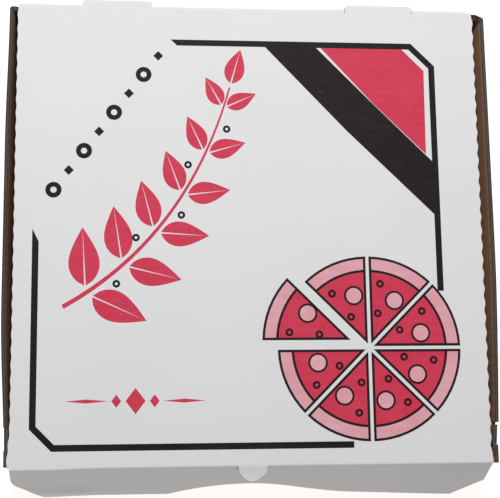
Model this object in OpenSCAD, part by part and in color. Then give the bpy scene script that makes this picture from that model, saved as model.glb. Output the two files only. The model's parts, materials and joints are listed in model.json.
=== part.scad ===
// Folding pizza box: a corrugated tray, a lid hinged on its rear wall and a front flap hinged on the lid.
// Frame: origin at the middle of the tray's underside, +Z up, front towards -Y, closed as it stands in use.

/* [Board] */
// Thickness of the corrugated board
board = 3; // [2:0.1:4]
// Thickness of each facing paper
liner = 0.35; // [0.25:0.05:0.5]
// Thickness of the fluted paper between the facings
medium = 0.35; // [0.25:0.05:0.5]
// Pitch of the flutes, crest to crest
flute_pitch = 6.4; // [5:0.1:8]
// Pressed strip without flutes beside a fold
fold_margin = 5; // [4:0.5:10]
// Pressed strip without flutes along a cut edge
edge_margin = 1.5; // [1:0.5:4]
// Room left on each side of a hinge fold
fold_gap = 0.5; // [0.4:0.05:0.8]
// Depth of the blunt paper edge at a hinge fold
fold_lip = 0.3; // [0.1:0.05:0.35]
// Outside radius of a fixed fold
fold_r = 2; // [1:0.1:2.5]

/* [Lid] */
// Width of the lid between its wavy edges
lid_w = 318; // [240:1:400]
// Depth of the lid from rear fold to front fold
lid_d = 314; // [240:1:400]
// Height of the closed box
box_h = 45; // [38:1:60]
// Length of one wave of the cut side edges
scallop_pitch = 10; // [6:0.5:14]
// Depth of one wave of the cut side edges
scallop_depth = 0.9; // [0.4:0.1:1.6]
// Distance of a hinge tab's middle from the centre line
hinge_tab_x = 91; // [70:1:115]
// Width of a hinge tab
hinge_tab_w = 48; // [30:1:70]
// Reach of a hinge tab past the rear fold
hinge_tab_reach = 3.6; // [2:0.1:5]
// Corner radius of a hinge tab
hinge_tab_r = 2; // [0.5:0.1:2.5]
// Radius of the half-round thumb tab
thumb_r = 9.7; // [7:0.1:14]
// Clearance round the thumb tab
thumb_gap = 0.75; // [0.6:0.05:1.5]

/* [Front flap] */
// Length of the flap from its fold
flap_len = 38; // [28:0.5:40]
// Shortening of the flap at each end of its fold
flap_inset = 1; // [0.5:0.1:4]
// Length of the flap's straight ends
flap_end = 21.5; // [10:0.5:26]
// Width of the slanted cut at each end
flap_slant = 20.5; // [5:0.5:40]
// Width of the wavy recess in the flap's lower edge
recess_w = 116; // [60:1:160]
// Depth of the wavy recess
recess_h = 14.5; // [5:0.5:18]
// Outward lean of the flap from the upright
flap_lean = 28; // [5:1:60]

/* [Tray] */
// Clearance between the lid's edge and the foot of a side wall
side_gap = 1; // [0.5:0.1:3]
// Depth of the side walls' tops below the top of the lid
side_drop = 2; // [1:0.5:6]
// Outward shift of a side wall's top where the wall leans
side_lean = 3.5; // [1:0.1:6]
// Length of the front stretch over which a side wall comes upright
lean_run = 97; // [60:1:140]
// Height of the slanted corner at each end of the rear wall
rear_slant = 6; // [3:0.5:12]
// Clearance between the front wall and the flap when it hangs upright
front_gap = 0.5; // [0.3:0.1:1.5]
// Clearance between the lid and the top of the front wall
rest_gap = 0.3; // [0.2:0.05:0.6]
// Clearance between panels folded against each other
seat_gap = 0.3; // [0.2:0.05:0.6]

/* [Corner locks] */
// Length of a rear corner flap along the rear wall
rear_flap_len = 102; // [60:1:130]
// Length of a front corner flap along the side wall
front_flap_len = 36; // [28:1:60]
// Slant of a corner flap's free end
flap_taper = 7; // [0:0.5:12]
// Depth of a front corner flap's top below the lid
front_lock_drop = 4; // [2:0.5:10]
// Distance from the front fold to the front lock tab
front_lock_y = 12.5; // [10:0.5:16]
// Width of the front lock tab
front_lock_w = 14; // [8:0.5:18]
// Reach of a lock tab past the wall it passes through
lock_reach = 1.5; // [0.5:0.1:3]
// Clearance round a lock tab in its slot
lock_gap = 0.4; // [0.3:0.05:1]

/* [Hidden] */

white_liner = "whitesmoke";
brown_liner = "tan";
points_per_wave = 6;
points_per_channel = 3;
points_per_arc = 5;
recess_points = 24;
over = 1;

// Folds and faces
rear_y = lid_d/2;
front_y = -lid_d/2;
lid_under = box_h - board;
mitre = fold_gap + board - fold_lip;
front_wall_y = front_y + board + front_gap;
front_wall_top = lid_under - rest_gap;
in_x = lid_w/2 + side_gap;
out_x = in_x + board;
side_top = box_h - side_drop;
side_front_y = front_wall_y;
side_rear_y = rear_y - board - seat_gap;
rear_corner_z = box_h - fold_gap - rear_slant;

// Corner locks
flap_floor = board + seat_gap;
front_lock_top = lid_under - front_lock_drop;
front_flap_x = in_x - seat_gap;
hinge_sweep = sqrt(hinge_tab_reach*hinge_tab_reach + board*board);
rear_lock_top = box_h - hinge_sweep - lock_gap;
slot_half = hinge_tab_w/2 + lock_gap;
rear_lock_half = hinge_tab_w/2 - hinge_tab_r;

// Flutes: half the height of a wave, and half the open width of one channel
flute_amp = (board - medium)/2 - liner;
channel_half = 0.42*flute_pitch;

// Points of a quarter round about a centre, from angle a0 to a1
function arc(cx, cy, r, a0, a1) =
    [for (i = [0:points_per_arc]) let (a = a0 + (a1 - a0)*i/points_per_arc) [cx + r*cos(a), cy + r*sin(a)]];

// Half width of the lid at depth y, along its wavy cut edge
function lid_edge(y) = lid_w/2 - scallop_depth/2*(1 - cos(360*y/scallop_pitch));

// Outward shift of a side wall's top at depth y: none at its front end
function lean(y) = side_lean*min(1, (y - side_front_y)/lean_run);

// Share of a wall's outward shift at height z
function rise(z) = (z - fold_r)/(side_top - fold_r);

// Outline of both halves from the points of the right half, bottom to top
function mirrored(right) = concat(right, [for (i = [len(right) - 1:-1:0]) [-right[i][0], right[i][1]]]);

// Lower edge of the flap's recess, x from its middle
function recess_edge(x) = flap_len - recess_h*(1 + cos(360*x/recess_w))/2;

// One open channel of the board: under the upper paper (up = 1) or over the lower one (up = -1)
function channel(c, up) = concat(
    [for (k = [-points_per_channel:points_per_channel])
        let (d = channel_half*k/points_per_channel)
        [c + d, -board/2 - up*flute_amp*cos(360*d/flute_pitch) + up*medium/2]],
    [[c + channel_half, -board/2 + up*(board/2 - liner)], [c - channel_half, -board/2 + up*(board/2 - liner)]]);

// Rows of channels that fill a stretch of board from u0 to u1, upper face at w = 0
module channels(u0, u1) {
    waves = floor((u1 - u0)/flute_pitch);
    first = (u0 + u1 - waves*flute_pitch)/2;
    for (i = [0:waves - 1]) {
        polygon(channel(first + (i + 0.5)*flute_pitch, 1));
        if (i > 0) polygon(channel(first + i*flute_pitch, -1));
    }
}

// Drawing (y, z) drawn out along X, middle on the centre line
module along_x(length) {
    rotate([90, 0, 90]) linear_extrude(height = length, center = true) children();
}

// Drawing (x, z) drawn out towards -Y from y1
module along_y(y1, length) {
    translate([0, y1, 0]) rotate([90, 0, 0]) linear_extrude(height = length) children();
}

// Both the right half and its mirror image
module both_sides() {
    children();
    mirror([1, 0, 0]) children();
}

// Rectangle with rounded corners in the drawing plane
module rounded_rect(x0, y0, x1, y1, r) {
    translate([x0 + r, y0]) square([x1 - x0 - 2*r, y1 - y0]);
    translate([x0, y0 + r]) square([x1 - x0, y1 - y0 - 2*r]);
    for (x = [x0 + r, x1 - r], y = [y0 + r, y1 - r]) translate([x, y]) circle(r, $fn = 32);
}

// Lid

// Section of the lid from front fold to rear fold, mitred below the outer paper, with open flutes
module lid_section() {
    difference() {
        polygon([
            [front_y + fold_gap, box_h], [front_y + fold_gap, box_h - fold_lip], [front_y + mitre, lid_under],
            [rear_y - mitre, lid_under], [rear_y - fold_gap, box_h - fold_lip], [rear_y - fold_gap, box_h]]);
        translate([0, box_h]) channels(front_y + fold_margin, rear_y - fold_margin);
    }
}

// Plan of the lid with its two wavy cut edges
module lid_plan() {
    steps = ceil(lid_d/scallop_pitch*points_per_wave);
    ys = [for (i = [0:steps]) front_y + lid_d*i/steps];
    polygon(concat(
        [for (y = ys) [lid_edge(y), y]],
        [for (i = [steps:-1:0]) [-lid_edge(ys[i]), ys[i]]]));
}

// Tab that stays in the lid's plane behind the rear fold
module hinge_tab() {
    translate([0, 0, lid_under]) linear_extrude(height = board)
        rounded_rect(hinge_tab_x - hinge_tab_w/2, rear_y - fold_margin + edge_margin/2,
            hinge_tab_x + hinge_tab_w/2, rear_y + hinge_tab_reach, hinge_tab_r);
}

// Half-round tab that stays in the lid's plane ahead of the front fold
module thumb_tab() {
    difference() {
        translate([0, front_y, lid_under]) cylinder(r = thumb_r, h = board, $fn = 64);
        translate([-thumb_r - over, front_y + mitre + over, lid_under - over])
            cube([2*(thumb_r + over), thumb_r + over, board + 2*over]);
    }
}

module lid() {
    color(white_liner) {
        intersection() {
            along_x(lid_w + 2*over) lid_section();
            translate([0, 0, lid_under - over]) linear_extrude(height = board + 2*over) lid_plan();
        }
        both_sides() hinge_tab();
        thumb_tab();
    }
}

// Front flap

// Section of the flap laid flat, fold at the origin and free edge towards -Y
module flap_section() {
    difference() {
        polygon([[-fold_gap, 0], [-fold_gap, -fold_lip], [-mitre, -board], [-flap_len, -board], [-flap_len, 0]]);
        channels(-flap_len + edge_margin, -fold_margin);
    }
}

// Plan of the flap laid flat: slanted ends, wavy recess and the cut round the thumb tab
module flap_plan() {
    half = lid_w/2 - flap_inset;
    recess = [for (i = [0:recess_points]) let (x = recess_w*(i/recess_points - 0.5)) [x, -recess_edge(x)]];
    difference() {
        polygon(concat(
            [[half, 0], [-half, 0], [-half, -flap_end], [-half + flap_slant, -flap_len]],
            recess,
            [[half - flap_slant, -flap_len], [half, -flap_end]]));
        circle(thumb_r + thumb_gap, $fn = 64);
    }
}

module front_flap() {
    color(white_liner)
        translate([0, front_y, box_h]) rotate([90 - flap_lean, 0, 0]) intersection() {
            along_x(lid_w) flap_section();
            translate([0, 0, -board - over]) linear_extrude(height = board + 2*over) flap_plan();
        }
}

// Tray

// Block under a leaning face that stands on x: its (x, z) section, cut to the plan of the same face
module lean_block(x, section) {
    bend_y = side_front_y + lean_run;
    intersection() {
        along_y(side_rear_y, side_rear_y - side_front_y) polygon(section);
        linear_extrude(height = 2*box_h, center = true)
            polygon([[0, side_front_y], [x, side_front_y], [x + side_lean, bend_y], [x + side_lean, side_rear_y],
                [0, side_rear_y]]);
    }
}

// Side wall that leans outward and comes upright at its front end, with the notch for the front lock tab
module side_wall() {
    foot_x = in_x - over;
    high = side_top + over;
    difference() {
        lean_block(out_x, concat(
            [[foot_x, 0]],
            arc(out_x - fold_r, fold_r, fold_r, -90, 0),
            [[out_x + side_lean, side_top], [foot_x, side_top]]));
        lean_block(in_x, [[0, board], [in_x, board], [in_x + side_lean*rise(high), high], [0, high]]);
        translate([in_x - over, front_y + front_lock_y - lock_gap, front_lock_top - board - lock_gap])
            cube([board + side_lean + 2*over, front_lock_w + 2*lock_gap, box_h]);
    }
}

// Section of the rear wall: rounded foot, top mitred below the outer paper
module rear_section() {
    polygon(concat(
        [[rear_y - board, 0]],
        arc(rear_y - fold_r, fold_r, fold_r, -90, 0),
        [[rear_y, box_h - fold_gap], [rear_y - fold_lip, box_h - fold_gap], [rear_y - board, box_h - mitre]]));
}

// Rear wall seen from the front: leaning ends, slanted top corners
module rear_outline() {
    polygon(mirrored(concat(
        arc(out_x - fold_r, fold_r, fold_r, -90, 0),
        [[out_x + side_lean*rise(rear_corner_z), rear_corner_z], [lid_w/2 - fold_gap, box_h]])));
}

// Rear wall with a slot under each hinge tab
module rear_wall() {
    difference() {
        intersection() {
            along_x(2*(out_x + side_lean + over)) rear_section();
            along_y(rear_y + over, board + 2*over) rear_outline();
        }
        both_sides()
            translate([hinge_tab_x - slot_half, rear_y - board - over, rear_lock_top - board - lock_gap])
                cube([2*slot_half, board + 2*over, box_h]);
    }
}

// Corner flap of a side wall, folded in behind the rear wall, with its lock tab through the slot
module rear_corner_flap() {
    tip = in_x - rear_flap_len;
    along_y(side_rear_y, board)
        polygon([[tip + flap_taper, flap_floor], [in_x + board/2, flap_floor],
            [in_x + board/2 + side_lean*rise(rear_lock_top), rear_lock_top], [tip, rear_lock_top]]);
    translate([hinge_tab_x - rear_lock_half, side_rear_y - board, rear_lock_top - board])
        cube([2*rear_lock_half, 2*board + seat_gap + lock_reach, board]);
}

// Section of the front wall: rounded foot, square top under the lid
module front_section() {
    polygon(concat(
        [[front_wall_y + board, front_wall_top], [front_wall_y, front_wall_top]],
        arc(front_wall_y + fold_r, fold_r, fold_r, 180, 270),
        [[front_wall_y + board, 0]]));
}

// Plan of the front wall and its two corner flaps, one strip with round folds
module front_fold_plan() {
    end_y = front_wall_y + front_flap_len;
    difference() {
        rounded_rect(-front_flap_x, front_wall_y, front_flap_x, end_y + fold_r, fold_r);
        translate([-front_flap_x + board, front_wall_y + board])
            square([2*(front_flap_x - board), front_flap_len + over]);
    }
}

// Front wall with its corner flaps folded back along the side walls
module front_wall() {
    end_y = front_wall_y + front_flap_len;
    along_x(2*(front_flap_x - fold_r)) front_section();
    intersection() {
        translate([0, 0, flap_floor]) linear_extrude(height = front_lock_top - flap_floor) front_fold_plan();
        along_x(2*out_x) polygon([[front_wall_y - over, 0], [end_y - flap_taper, 0],
            [end_y, front_lock_top + over], [front_wall_y - over, front_lock_top + over]]);
    }
}

// Tab of a front corner flap, bent out through the notch in the side wall
module front_lock_tab() {
    y0 = front_y + front_lock_y;
    translate([front_flap_x - board, y0, front_lock_top - board])
        cube([out_x + lean(y0) + lock_reach - front_flap_x + board, front_lock_w, board]);
}

// Floor of the tray, from fold to fold
module floor_panel() {
    half = out_x - fold_r;
    y0 = front_wall_y + fold_r;
    translate([-half, y0, 0]) cube([2*half, rear_y - fold_r - y0, board]);
}

module tray() {
    color(brown_liner) {
        floor_panel();
        rear_wall();
        front_wall();
        both_sides() {
            side_wall();
            rear_corner_flap();
            front_lock_tab();
        }
    }
}

tray();
lid();
front_flap();
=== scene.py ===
"""Pizza box of white-faced corrugated board: bent panels, fold papers, lid print and studio.

Sizes are millimetres in the box's own frame (+Z up, front towards -Y) unless a name says otherwise.
"""

from __future__ import annotations

import json
import logging
import math
from dataclasses import dataclass, field
from enum import Enum
from functools import partial
from typing import Callable, Sequence

import bmesh
import bpy
from mathutils import Euler, Matrix, Vector

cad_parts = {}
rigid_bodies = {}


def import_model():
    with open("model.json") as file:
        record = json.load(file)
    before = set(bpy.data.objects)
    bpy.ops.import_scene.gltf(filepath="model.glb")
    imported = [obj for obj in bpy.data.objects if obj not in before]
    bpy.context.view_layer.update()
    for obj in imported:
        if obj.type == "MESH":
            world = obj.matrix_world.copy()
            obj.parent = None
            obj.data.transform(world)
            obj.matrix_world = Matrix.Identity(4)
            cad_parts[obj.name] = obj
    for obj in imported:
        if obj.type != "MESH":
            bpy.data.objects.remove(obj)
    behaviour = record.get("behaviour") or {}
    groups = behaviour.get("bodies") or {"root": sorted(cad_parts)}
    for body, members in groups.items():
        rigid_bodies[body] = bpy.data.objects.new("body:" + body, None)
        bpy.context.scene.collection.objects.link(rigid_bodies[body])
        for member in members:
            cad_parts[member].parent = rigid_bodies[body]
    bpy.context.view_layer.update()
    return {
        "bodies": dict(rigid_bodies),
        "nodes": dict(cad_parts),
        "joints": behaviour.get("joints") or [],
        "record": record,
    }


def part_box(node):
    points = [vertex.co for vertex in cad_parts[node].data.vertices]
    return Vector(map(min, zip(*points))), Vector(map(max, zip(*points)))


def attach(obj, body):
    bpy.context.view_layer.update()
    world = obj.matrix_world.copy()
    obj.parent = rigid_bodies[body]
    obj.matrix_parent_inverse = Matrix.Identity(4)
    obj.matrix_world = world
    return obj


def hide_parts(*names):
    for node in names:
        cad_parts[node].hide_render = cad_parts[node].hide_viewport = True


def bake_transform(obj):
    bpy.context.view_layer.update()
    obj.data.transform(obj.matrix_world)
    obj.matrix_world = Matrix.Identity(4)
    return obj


LOG = logging.getLogger("pizza_box")
MM = 0.001
QUARTER = math.pi / 2.0
SHARP_ANGLE = math.radians(35.0)
BOARD_UV = "board"
CUT = 0.02
SIDES = (-1, 1)
Point = tuple[float, float]
Triple = tuple[float, float, float]
Material = bpy.types.Material
Piece = bpy.types.Object


def limited(value: float) -> float:
    """Keep a share between 0 and 1."""
    return min(1.0, max(0.0, value))


def smooth(value: float) -> float:
    """Ease a share from 0 to 1, flat at both ends."""
    share = limited(value)
    return share * share * (3.0 - 2.0 * share)


def stations(start: float, stop: float, step: float, extra: Sequence[float] = ()) -> list[float]:
    """Spread even stations over a stretch and add the ones that a cut needs.

    Args:
        start: First station.
        stop: Last station.
        step: Largest distance between two even stations.
        extra: More stations, used where they lie inside the stretch.

    Returns:
        The sorted stations, none of them twice.
    """
    count = max(1, math.ceil((stop - start) / step))
    even = [start + (stop - start) * i / count for i in range(count + 1)]
    inside = [value for value in extra if start < value < stop]
    return sorted(set(even + inside))


def round_stations(centre: float, radius: float, reach: int, step: int) -> list[float]:
    """Spread stations over a half-round by angles in degrees."""
    return [centre + radius * math.sin(math.radians(angle)) for angle in range(-reach, reach + 1, step)]


def both(values: Sequence[float]) -> list[float]:
    """Give each value and its mirror image."""
    return [side * value for value in values for side in SIDES]


def cut_at(*edges: float) -> list[float]:
    """Give the two stations on either side of each cut edge."""
    return [edge + side * CUT for edge in edges for side in SIDES]


def placed(points: Sequence[Point], origin: Sequence[float], angle: float) -> list[Point]:
    """Turn points about zero and move them to an origin."""
    cos, sin = math.cos(angle), math.sin(angle)
    return [(origin[0] + x * cos - y * sin, origin[1] + x * sin + y * cos) for x, y in points]


def chamfered(start: Point, corner: Point, end: Point, cut: float) -> list[Point]:
    """Lead a line from a start to an end, round a corner that is cut off.

    Args:
        start: First point.
        corner: The corner before it is cut.
        end: Last point.
        cut: Length that the cut takes off each leg.

    Returns:
        The line's four points.
    """
    middle = Vector(corner)
    cuts = [middle + cut * (Vector(leg) - middle).normalized() for leg in (start, end)]
    return [start, *(tuple(point) for point in cuts), end]


@dataclass(frozen=True)
class Ramp:
    """A measure that eases in from a start over a run, downwards where the run is below zero."""

    height: float
    start: float
    run: float

    def at(self, value: float) -> float:
        """Give the measure at a value."""
        return self.height * smooth((value - self.start) / self.run)


class Paper(Enum):
    """The papers of the board, by material slot of a board piece."""

    WHITE = 0
    KRAFT = 1
    FLUTING = 2


class Ink(Enum):
    """The printing colours."""

    BLACK = "black"
    RED = "red"
    PINK = "pink"


class Layer(Enum):
    """The print's layers, by their height above the lid."""

    GROUND = 0
    BAND = 1
    FILL = 2
    TOPPING = 4
    TOPPING_FACE = 6


Papers = dict[Paper, Material]


class Wire:
    """A node's output socket that takes part in arithmetic."""

    def __init__(self, graph: Graph, socket: bpy.types.NodeSocket) -> None:
        """Keep the socket and its graph."""
        self.graph = graph
        self.socket = socket

    def _math(self, operation: str, first: Wire | float, second: Wire | float = 0.0) -> Wire:
        """Add one Math node."""
        return self.graph.node("ShaderNodeMath", {"operation": operation}, {0: first, 1: second})

    def __add__(self, other: Wire | float) -> Wire:
        """Add a value."""
        return self._math("ADD", self, other)

    def __radd__(self, other: float) -> Wire:
        """Add to a number."""
        return self._math("ADD", other, self)

    def __sub__(self, other: Wire | float) -> Wire:
        """Subtract a value."""
        return self._math("SUBTRACT", self, other)

    def __rsub__(self, other: float) -> Wire:
        """Subtract from a number."""
        return self._math("SUBTRACT", other, self)

    def __mul__(self, other: Wire | float) -> Wire:
        """Multiply by a value."""
        return self._math("MULTIPLY", self, other)

    def __rmul__(self, other: float) -> Wire:
        """Multiply a number."""
        return self._math("MULTIPLY", other, self)

    def cosine(self) -> Wire:
        """Take the cosine of an angle in radians."""
        return self._math("COSINE", self)

    def swing(self, weight: float) -> Wire:
        """Turn a share into a weighted swing about zero."""
        return weight * (self - 0.5)

    def step(self, low: float, high: float) -> Wire:
        """Ease from 0 at the low value to 1 at the high one."""
        return self.graph.node(
            "ShaderNodeMapRange", {"interpolation_type": "SMOOTHSTEP"}, {"Value": self, 1: low, 2: high})


@dataclass(frozen=True)
class Noise:
    """A cloudy noise: its scale, its detail and how it is stretched into streaks."""

    scale: float
    detail: float = 3.0
    stretch: Triple | None = None


class Graph:
    """Node graph of one material."""

    def __init__(self, name: str) -> None:
        """Start an empty material.

        Args:
            name: The material's name.
        """
        self.material = bpy.data.materials.new(name)
        self.material.use_nodes = True
        self.tree = self.material.node_tree
        self.tree.nodes.clear()

    def add(self, kind: str, settings: dict, inputs: dict) -> bpy.types.Node:
        """Add a node.

        Args:
            kind: The node's type.
            settings: Its properties, set before its sockets.
            inputs: Values or wires by socket name or number.

        Returns:
            The node.
        """
        made = self.tree.nodes.new(kind)
        for name, value in settings.items():
            setattr(made, name, value)
        for key, value in inputs.items():
            if isinstance(value, Wire):
                self.tree.links.new(value.socket, made.inputs[key])
            else:
                made.inputs[key].default_value = value
        return made

    def node(self, kind: str, settings: dict, inputs: dict, output: int | str = 0) -> Wire:
        """Add a node and give the wire from one of its outputs."""
        return Wire(self, self.add(kind, settings, inputs).outputs[output])

    def place(self) -> Wire:
        """Give the place on the piece."""
        return self.node("ShaderNodeTexCoord", {}, {}, "Object")

    def board_place(self) -> tuple[Wire, Wire]:
        """Find where the board's flutes run.

        Returns:
            The place on the board, along and across its flutes, and the flutes' ridges from 0 to 1.
        """
        board = self.node("ShaderNodeUVMap", {"uv_map": BOARD_UV}, {})
        across = self.node("ShaderNodeSeparateXYZ", {}, {0: board}, "Y")
        return board, 0.5 + 0.5 * (across * math.tau).cosine()

    def noise(self, place: Wire, noise: Noise) -> Wire:
        """Add a noise between 0 and 1.

        Args:
            place: Where the noise is read.
            noise: Its settings.

        Returns:
            The wire from the noise.
        """
        if noise.stretch:
            place = self.node("ShaderNodeMapping", {}, {"Vector": place, "Scale": noise.stretch})
        return self.node(
            "ShaderNodeTexNoise", {}, {"Vector": place, "Scale": noise.scale, "Detail": noise.detail})

    def mix(self, share: Wire, first: Wire | Triple, second: Wire | Triple) -> Wire:
        """Mix two colours by a share."""
        ends = [end if isinstance(end, Wire) else (*end, 1.0) for end in (first, second)]
        return self.node("ShaderNodeMix", {"data_type": "RGBA"}, {0: share, 6: ends[0], 7: ends[1]}, 2)

    def surface(self, colour: Wire, roughness: Wire, height: Wire, gloss: float) -> Material:
        """Close the graph with a rough surface.

        Args:
            colour: Base colour.
            roughness: Roughness over the surface.
            height: Relief in millimetres.
            gloss: Strength of the gloss.

        Returns:
            The finished material.
        """
        bump = self.node("ShaderNodeBump", {}, {"Strength": 1.0, "Distance": MM, "Height": height})
        return self.close({
            "Base Color": colour, "Roughness": roughness, "Normal": bump, "Specular IOR Level": gloss})

    def close(self, inputs: dict) -> Material:
        """Close the graph with a shader.

        Args:
            inputs: Values or wires by socket name.

        Returns:
            The finished material.
        """
        shader = self.node("ShaderNodeBsdfPrincipled", {}, inputs)
        self.add("ShaderNodeOutputMaterial", {}, {"Surface": shader})
        return self.material


@dataclass(frozen=True)
class PaperFinish:
    """A facing or fluting paper: tinted pulp with clouds, fibres, specks and the ridges of the flutes."""

    name: str
    colour: Triple
    shade: Triple
    speck: Triple
    roughness: float
    ridge_tone: float
    ridge_height: float
    fibre_tone: float
    speck_share: float
    clouds: Noise = Noise(16.0)
    fibres: Noise = Noise(1.4, 5.0, (1.2, 9.0, 1.0))
    grain: Noise = Noise(1500.0, 2.0)
    specks: Noise = Noise(620.0, 2.0, (1.0, 2.2, 1.0))
    speck_band: Point = (0.70, 0.76)
    mid_tone: float = 0.4
    cloud_tone: float = 0.9
    grain_tone: float = 0.5
    fibre_rough: float = 0.12
    cloud_rough: float = 0.06
    grain_height: float = 0.03
    fibre_height: float = 0.05
    gloss: float = 0.3

    def material(self) -> Material:
        """Build the paper's material.

        Returns:
            The material.
        """
        graph = Graph(self.name)
        place = graph.place()
        board, ridge = graph.board_place()
        clouds = graph.noise(place, self.clouds)
        fibres = graph.noise(board, self.fibres)
        grain = graph.noise(place, self.grain)
        tone = (clouds.swing(self.cloud_tone) + fibres.swing(self.fibre_tone) + grain.swing(self.grain_tone)
                + ridge.swing(-self.ridge_tone) + self.mid_tone)
        paper = graph.mix(tone.step(0.0, 1.0), self.colour, self.shade)
        specks = graph.noise(place, self.specks).step(*self.speck_band)
        colour = graph.mix(specks * self.speck_share, paper, self.speck)
        roughness = self.roughness + fibres.swing(self.fibre_rough) + clouds.swing(self.cloud_rough)
        height = self.ridge_height * ridge + self.grain_height * grain + self.fibre_height * fibres
        return graph.surface(colour, roughness, height, self.gloss)


@dataclass(frozen=True)
class InkFinish:
    """Printing ink on the white facing: mottled, thin between the ridges, with pinholes of paper."""

    name: str
    colour: Triple
    thin: Triple
    pinhole: Triple
    roughness: float
    mottle: Noise = Noise(75.0, 4.0)
    grain: Noise = Noise(1300.0, 2.0)
    pinholes: Noise = Noise(900.0, 1.0)
    pinhole_band: Point = (0.74, 0.79)
    pinhole_share: float = 0.5
    mid_tone: float = 0.4
    mottle_tone: float = 1.5
    grain_tone: float = 0.7
    ridge_tone: float = 0.16
    mottle_rough: float = 0.15
    ridge_height: float = 0.05
    grain_height: float = 0.03
    gloss: float = 0.15

    def material(self) -> Material:
        """Build the ink's material.

        Returns:
            The material.
        """
        graph = Graph(self.name)
        place = graph.place()
        ridge = graph.board_place()[1]
        mottle = graph.noise(place, self.mottle)
        grain = graph.noise(place, self.grain)
        tone = (mottle.swing(self.mottle_tone) + grain.swing(self.grain_tone) + ridge.swing(-self.ridge_tone)
                + self.mid_tone)
        ink = graph.mix(tone.step(0.0, 1.0), self.colour, self.thin)
        pinholes = graph.noise(place, self.pinholes).step(*self.pinhole_band)
        colour = graph.mix(pinholes * self.pinhole_share, ink, self.pinhole)
        roughness = self.roughness + mottle.swing(self.mottle_rough)
        height = self.ridge_height * ridge + self.grain_height * grain
        return graph.surface(colour, roughness, height, self.gloss)


PAPERS = {
    Paper.WHITE: PaperFinish(
        "white_facing", colour=(0.83, 0.825, 0.835), shade=(0.80, 0.795, 0.805), speck=(0.60, 0.59, 0.57),
        roughness=0.6, ridge_tone=0.05, ridge_height=0.015, fibre_tone=0.4, speck_share=0.2),
    Paper.KRAFT: PaperFinish(
        "kraft_facing", colour=(0.46, 0.255, 0.15), shade=(0.36, 0.19, 0.105), speck=(0.19, 0.10, 0.057),
        roughness=0.8, ridge_tone=0.2, ridge_height=0.04, fibre_tone=1.3, speck_share=0.5),
    # Kraft fluting darkened far below its own brown: on every cut edge this colour paints the shade of the
    # open flute hollows and of the gaps under the lid.
    Paper.FLUTING: PaperFinish(
        "fluting_painted_shade", colour=(0.10, 0.087, 0.077), shade=(0.06, 0.052, 0.045), speck=(0.04, 0.034, 0.03),
        roughness=0.85, ridge_tone=0.0, ridge_height=0.0, fibre_tone=1.3, speck_share=0.4),
}
INKS = {
    Ink.BLACK: InkFinish("black_ink", colour=(0.010, 0.006, 0.008), thin=(0.019, 0.012, 0.015),
                         pinhole=(0.20, 0.18, 0.18), roughness=0.6),
    Ink.RED: InkFinish("red_ink", colour=(0.66, 0.038, 0.088), thin=(0.70, 0.056, 0.108),
                       pinhole=(0.82, 0.45, 0.50), roughness=0.55),
    Ink.PINK: InkFinish("pink_ink", colour=(0.80, 0.36, 0.42), thin=(0.83, 0.47, 0.52),
                        pinhole=(0.84, 0.72, 0.73), roughness=0.52),
}


@dataclass(frozen=True)
class Spot:
    """A place on a panel: its outer and inner points, and its distances along and across the flutes.

    At a die-cut edge the flutes are pressed flat, by the share press.
    """

    outer: Vector
    inner: Vector
    along: float
    across: float
    press: float = 0.0


SpotMap = Callable[[float, float], Spot]
Depth = Callable[[Spot], float]


@dataclass(frozen=True)
class Board:
    """The corrugated board that all panels are cut from."""

    thickness: float = 3.0
    liner: float = 0.35
    medium: float = 0.35
    pitch: float = 6.4
    flute_steps: int = 8
    crease_run: float = 5.0
    crease_share: float = 0.32
    crease_rows: Sequence[float] = (0.5, 1.0, 1.7, 2.5, 3.3, 4.2, 5.0)
    bend: float = 2.0
    press_run: float = 2.5
    press_fill: float = 0.62
    press_pinch: float = 0.25

    @property
    def liner_share(self) -> float:
        """Thickness of a facing as a share of the board."""
        return self.liner / self.thickness

    @property
    def flute_step(self) -> float:
        """Distance between stations that draws each flute."""
        return self.pitch / self.flute_steps

    def medium_share(self, here: Spot, face: int) -> float:
        """Depth of a face of the fluted paper as a share of the board, from the outer facing.

        Args:
            here: Place on the panel.
            face: -1 for the outer face, 1 for the inner one.

        Returns:
            The share.
        """
        reach = (0.5 - self.liner_share - 0.5 * self.medium / self.thickness) * (1.0 - here.press)
        half = (0.5 * self.medium + self.press_fill * here.press) / self.thickness
        return 0.5 + reach * math.cos(math.tau * here.across / self.pitch) + face * half

    def pressed(self, distance: float) -> float:
        """Share by which the flutes are pressed flat at a distance from a die-cut edge."""
        return 1.0 - smooth(distance / self.press_run)

    def creased(self, distance: float) -> float:
        """Thickness left at a distance from a scored fold, where the board is pressed flat."""
        share = self.crease_share + (1.0 - self.crease_share) * smooth(distance / self.crease_run)
        return self.thickness * share

    def flute_stations(self, start: float, stop: float, extra: Sequence[float] = ()) -> list[float]:
        """Spread stations finely enough to draw each flute."""
        return stations(start, stop, self.flute_step, extra)


@dataclass(frozen=True)
class Layout:
    """Places of the folds and faces, read from the frame, and how far the front fold runs out of square."""

    rear_y: float
    front_y: float
    fold_z: float
    lid_half: float
    tab_y: float
    thumb_y: float
    flap_turn: float
    front_skew: Ramp = Ramp(0.8, -100.0, -40.0)

    @classmethod
    def from_frame(cls, frame: dict) -> Layout:
        """Read the layout.


        Returns:
            The layout in millimetres and radians.
        """
        joints = {joint["name"]: joint for joint in frame["joints"]}
        hinge = joints["lid_hinge"]["pos_m"]
        fold = joints["flap_fold"]["pos_m"]
        lid_low, lid_high = (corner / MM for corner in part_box("lid"))
        level = joints["flap_fold"]["range_deg"][0]
        return cls(rear_y=hinge[1] / MM, front_y=fold[1] / MM, fold_z=hinge[2] / MM, lid_half=lid_high.x,
                   tab_y=lid_high.y, thumb_y=lid_low.y, flap_turn=math.radians(-level))


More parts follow.
